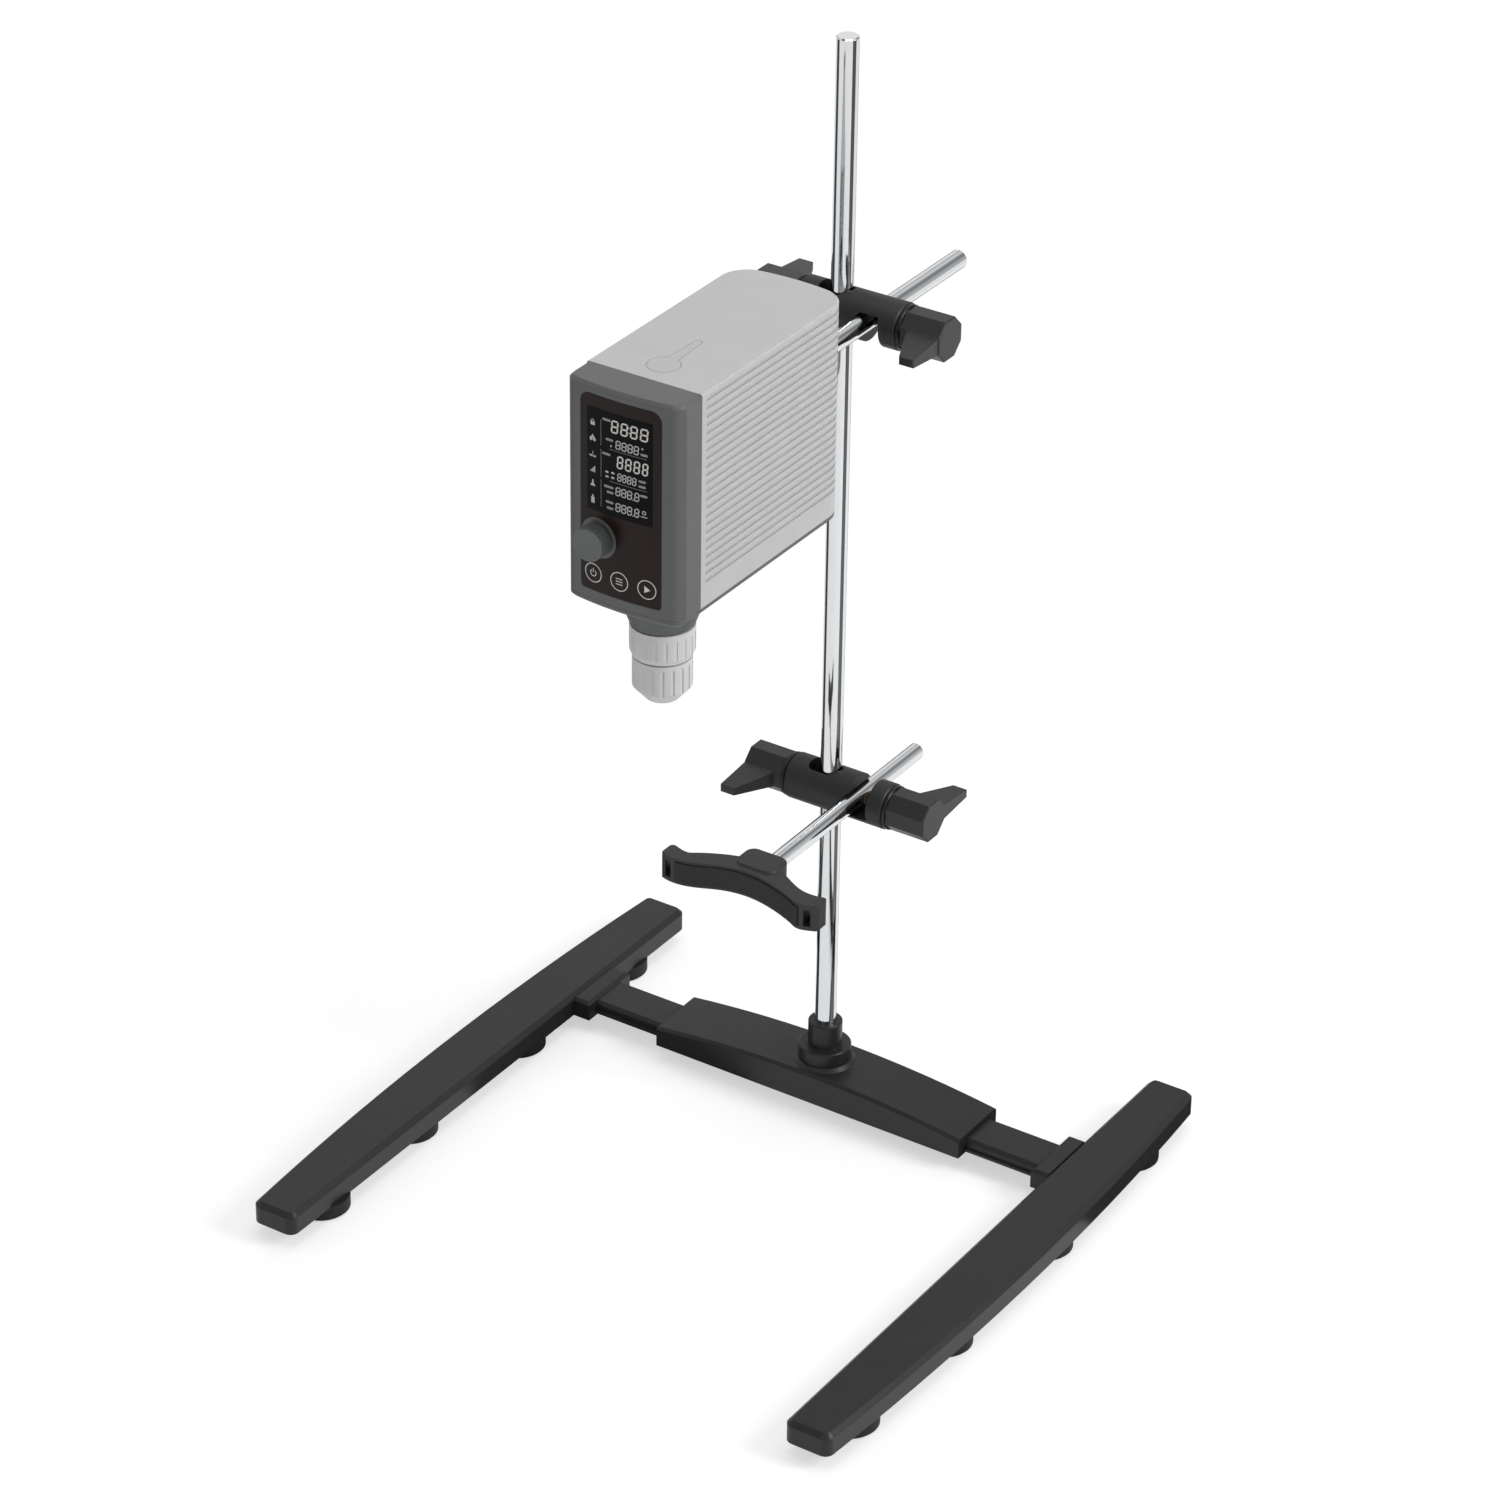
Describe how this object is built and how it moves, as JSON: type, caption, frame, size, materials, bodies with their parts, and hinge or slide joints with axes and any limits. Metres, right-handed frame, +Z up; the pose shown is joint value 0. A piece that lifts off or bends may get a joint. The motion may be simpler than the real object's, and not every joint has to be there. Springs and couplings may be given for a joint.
{
  "type": "overhead stirrer",
  "caption": "Overhead laboratory stirrer: a motor head with display, control knob and chuck on a chromed stand rod above an H-shaped stand, with a strap bow below",
  "frame": {"origin": "on the bench, midway between the legs and midway along them", "axes": "+X right along the cross beam, +Y to the back along the legs, +Z up; the display faces -Y"},
  "size_m": [0.5126, 0.507, 0.856],
  "materials": {
    "stand_paint": "satin black paint",
    "leg_paint": "satin black paint",
    "rail_paint": "satin black paint",
    "foot_rubber": "soft black rubber",
    "rod_chrome": "polished chrome",
    "clamp_paint": "matt black paint",
    "screw_black": "blackened steel",
    "knob_plastic": "matt black plastic",
    "pad_brass": "turned brass",
    "bow_plastic": "matt black plastic",
    "bow_rubber": "soft black lining",
    "shell_plastic": "pale grey moulded plastic",
    "cover_plastic": "dark grey moulded plastic",
    "neck_plastic": "dark grey moulded plastic",
    "panel_gloss": "glossy near-black panel",
    "lcd_gloss": "black display",
    "key_gloss": "glossy near-black keys",
    "dial_plastic": "dark grey fluted plastic",
    "cap_rubber": "pale grey rubber",
    "board_laminate": "green circuit board",
    "encoder_plastic": "black moulded plastic",
    "inner_steel": "plain steel",
    "gear_steel": "machined steel",
    "motor_steel": "machined steel",
    "bearing_steel": "ground steel",
    "inner_aluminium": "cast aluminium",
    "chuck_grey": "pale grey fluted plastic"
  },
  "bodies": {
    "stand": {"beam_sleeve": "stand_paint", "rod_socket": "stand_paint", "rod_bolt": "inner_steel", "stand_rod": "rod_chrome"},
    "left_leg": {"leg_left": "leg_paint", "slide_rail_left": "rail_paint", "feet_left": "foot_rubber", "leg_screws_left": "inner_steel"},
    "right_leg": {"leg_right": "leg_paint", "slide_rail_right": "rail_paint", "feet_right": "foot_rubber", "leg_screws_right": "inner_steel"},
    "upper_clamp": {"upper_boss": "clamp_paint"},
    "lower_clamp": {"lower_boss": "clamp_paint"},
    "arm": {"support_arm": "rod_chrome"},
    "head": {"ribbed_shell": "shell_plastic", "front_cover": "cover_plastic", "base_plate": "cover_plastic", "neck": "neck_plastic", "display_panel": "panel_gloss", "lcd_module": "lcd_gloss", "control_board": "board_laminate", "encoder_body": "encoder_plastic", "spindle_housing": "inner_aluminium", "spindle_bearings": "bearing_steel", "motor_can": "motor_steel", "gear_plate": "inner_aluminium", "dc_inlet": "encoder_plastic", "arm_socket": "clamp_paint", "cover_screws": "inner_steel"},
    "strap_arm": {"strap_rod": "rod_chrome"},
    "bow": {"strap_bow": "bow_plastic", "bow_pad": "bow_rubber"},
    "rotor": {"motor_pinion": "gear_steel"},
    "drive_spindle": {"spindle": "motor_steel", "spindle_gear": "gear_steel", "chuck_body": "chuck_grey"},
    "sleeve": {"chuck_sleeve": "chuck_grey"},
    "jaw_1": {"chuck_jaw_1": "gear_steel"},
    "jaw_2": {"chuck_jaw_2": "gear_steel"},
    "jaw_3": {"chuck_jaw_3": "gear_steel"},
    "encoder": {"encoder_shaft": "inner_steel"},
    "dial": {"control_knob": "dial_plastic"},
    "left_key": {"key_left": "key_gloss"},
    "middle_key": {"key_middle": "key_gloss"},
    "right_key": {"key_right": "key_gloss"},
    "cap": {"shaft_cap": "cap_rubber"},
    "upper_rod_nip": {"upper_rod_pad": "pad_brass"},
    "upper_rod_grip": {"upper_rod_screw": "screw_black", "upper_rod_knob": "knob_plastic"},
    "upper_arm_nip": {"upper_arm_pad": "pad_brass"},
    "upper_arm_grip": {"upper_arm_screw": "screw_black", "upper_arm_knob": "knob_plastic"},
    "lower_rod_nip": {"lower_rod_pad": "pad_brass"},
    "lower_rod_grip": {"lower_rod_screw": "screw_black", "lower_rod_knob": "knob_plastic"},
    "lower_arm_nip": {"lower_arm_pad": "pad_brass"},
    "lower_arm_grip": {"lower_arm_screw": "screw_black", "lower_arm_knob": "knob_plastic"}
  },
  "joints": [
    {"name": "left_leg_slide", "type": "slide", "parent": "stand", "child": "left_leg", "axis": [-1, 0, 0], "range_m": [-0.05, 0.04]},
    {"name": "right_leg_slide", "type": "slide", "parent": "stand", "child": "right_leg", "axis": [1, 0, 0], "range_m": [-0.05, 0.04]},
    {"name": "upper_clamp_height", "type": "slide", "parent": "stand", "child": "upper_clamp", "axis": [0, 0, 1], "range_m": [-0.15, 0.17]},
    {"name": "lower_clamp_height", "type": "slide", "parent": "stand", "child": "lower_clamp", "axis": [0, 0, 1], "range_m": [-0.13, 0.06]},
    {"name": "upper_rod_pad_travel", "type": "slide", "parent": "upper_clamp", "child": "upper_rod_nip", "axis": [-1, 0, 0], "range_m": [0, 0.0045]},
    {"name": "upper_rod_knob_turn", "type": "hinge", "parent": "upper_rod_nip", "child": "upper_rod_grip", "pos_m": [-0.0305, 0.1272, 0.6542], "axis": [-1, 0, 0], "range_deg": [0, 1080]},
    {"name": "upper_arm_pad_travel", "type": "slide", "parent": "upper_clamp", "child": "upper_arm_nip", "axis": [1, 0, 0], "range_m": [0, 0.0045]},
    {"name": "upper_arm_knob_turn", "type": "hinge", "parent": "upper_arm_nip", "child": "upper_arm_grip", "pos_m": [0.0524, 0.1272, 0.6542], "axis": [1, 0, 0], "range_deg": [0, 1080]},
    {"name": "lower_rod_pad_travel", "type": "slide", "parent": "lower_clamp", "child": "lower_rod_nip", "axis": [-1, 0, 0], "range_m": [0, 0.0045]},
    {"name": "lower_rod_knob_turn", "type": "hinge", "parent": "lower_rod_nip", "child": "lower_rod_grip", "pos_m": [-0.0305, 0.1272, 0.2719], "axis": [-1, 0, 0], "range_deg": [0, 1080]},
    {"name": "lower_arm_pad_travel", "type": "slide", "parent": "lower_clamp", "child": "lower_arm_nip", "axis": [1, 0, 0], "range_m": [0, 0.0045]},
    {"name": "lower_arm_knob_turn", "type": "hinge", "parent": "lower_arm_nip", "child": "lower_arm_grip", "pos_m": [0.0524, 0.1272, 0.2719], "axis": [1, 0, 0], "range_deg": [0, 1080]},
    {"name": "arm_reach", "type": "slide", "parent": "upper_clamp", "child": "arm", "axis": [0, 1, 0], "range_m": [-0.08, 0.045]},
    {"name": "head_tilt", "type": "hinge", "parent": "arm", "child": "head", "pos_m": [0.0245, 0, 0.6542], "axis": [0, 1, 0], "range_deg": [-45, 45]},
    {"name": "strap_reach", "type": "slide", "parent": "lower_clamp", "child": "strap_arm", "axis": [0, 1, 0], "range_m": [-0.055, 0.06]},
    {"name": "bow_turn", "type": "hinge", "parent": "strap_arm", "child": "bow", "pos_m": [0.0245, 0, 0.2719], "axis": [0, 1, 0], "range_deg": [-90, 90]},
    {"name": "spindle_spin", "type": "hinge", "parent": "head", "child": "drive_spindle", "pos_m": [0.0245, -0.1288, 0.6], "axis": [0, 0, 1], "continuous": true},
    {"name": "rotor_spin", "type": "hinge", "parent": "head", "child": "rotor", "pos_m": [0.0245, -0.0808, 0.64], "axis": [0, 0, 1], "continuous": true},
    {"name": "sleeve_turn", "type": "hinge", "parent": "drive_spindle", "child": "sleeve", "pos_m": [0.0245, -0.1288, 0.49], "axis": [0, 0, 1], "range_deg": [0, 1800]},
    {"name": "jaw_1_travel", "type": "slide", "parent": "drive_spindle", "child": "jaw_1", "axis": [0, -0.309, -0.9511], "range_m": [0, 0.0125]},
    {"name": "jaw_2_travel", "type": "slide", "parent": "drive_spindle", "child": "jaw_2", "axis": [0.2676, 0.1545, -0.9511], "range_m": [0, 0.0125]},
    {"name": "jaw_3_travel", "type": "slide", "parent": "drive_spindle", "child": "jaw_3", "axis": [-0.2676, 0.1545, -0.9511], "range_m": [0, 0.0125]},
    {"name": "dial_press", "type": "slide", "parent": "head", "child": "encoder", "axis": [0, 1, 0], "range_m": [0, 0.0005], "stiffness_N_per_m": 800, "springref_m": -0.0006},
    {"name": "dial_turn", "type": "hinge", "parent": "encoder", "child": "dial", "pos_m": [0.0075, -0.186, 0.612], "axis": [0, -1, 0], "continuous": true},
    {"name": "left_key_press", "type": "slide", "parent": "head", "child": "left_key", "axis": [0, 1, 0], "range_m": [0, 0.0004], "stiffness_N_per_m": 600, "springref_m": -0.0005},
    {"name": "middle_key_press", "type": "slide", "parent": "head", "child": "middle_key", "axis": [0, 1, 0], "range_m": [0, 0.0004], "stiffness_N_per_m": 600, "springref_m": -0.0005},
    {"name": "right_key_press", "type": "slide", "parent": "head", "child": "right_key", "axis": [0, 1, 0], "range_m": [0, 0.0004], "stiffness_N_per_m": 600, "springref_m": -0.0005},
    {"name": "cap_lift", "type": "hinge", "parent": "head", "child": "cap", "pos_m": [0.0245, -0.0862, 0.7215], "axis": [-1, 0, 0], "range_deg": [0, 100]}
  ],
  "couplings": [
    {"joint": "upper_rod_pad_travel", "follows": "upper_rod_knob_turn", "m_per_rad": 0.0002387},
    {"joint": "upper_arm_pad_travel", "follows": "upper_arm_knob_turn", "m_per_rad": 0.0002387},
    {"joint": "lower_rod_pad_travel", "follows": "lower_rod_knob_turn", "m_per_rad": 0.0002387},
    {"joint": "lower_arm_pad_travel", "follows": "lower_arm_knob_turn", "m_per_rad": 0.0002387},
    {"joint": "rotor_spin", "follows": "spindle_spin", "ratio": -3},
    {"joint": "jaw_1_travel", "follows": "sleeve_turn", "m_per_rad": 0.0003978},
    {"joint": "jaw_2_travel", "follows": "sleeve_turn", "m_per_rad": 0.0003978},
    {"joint": "jaw_3_travel", "follows": "sleeve_turn", "m_per_rad": 0.0003978}
  ]
}
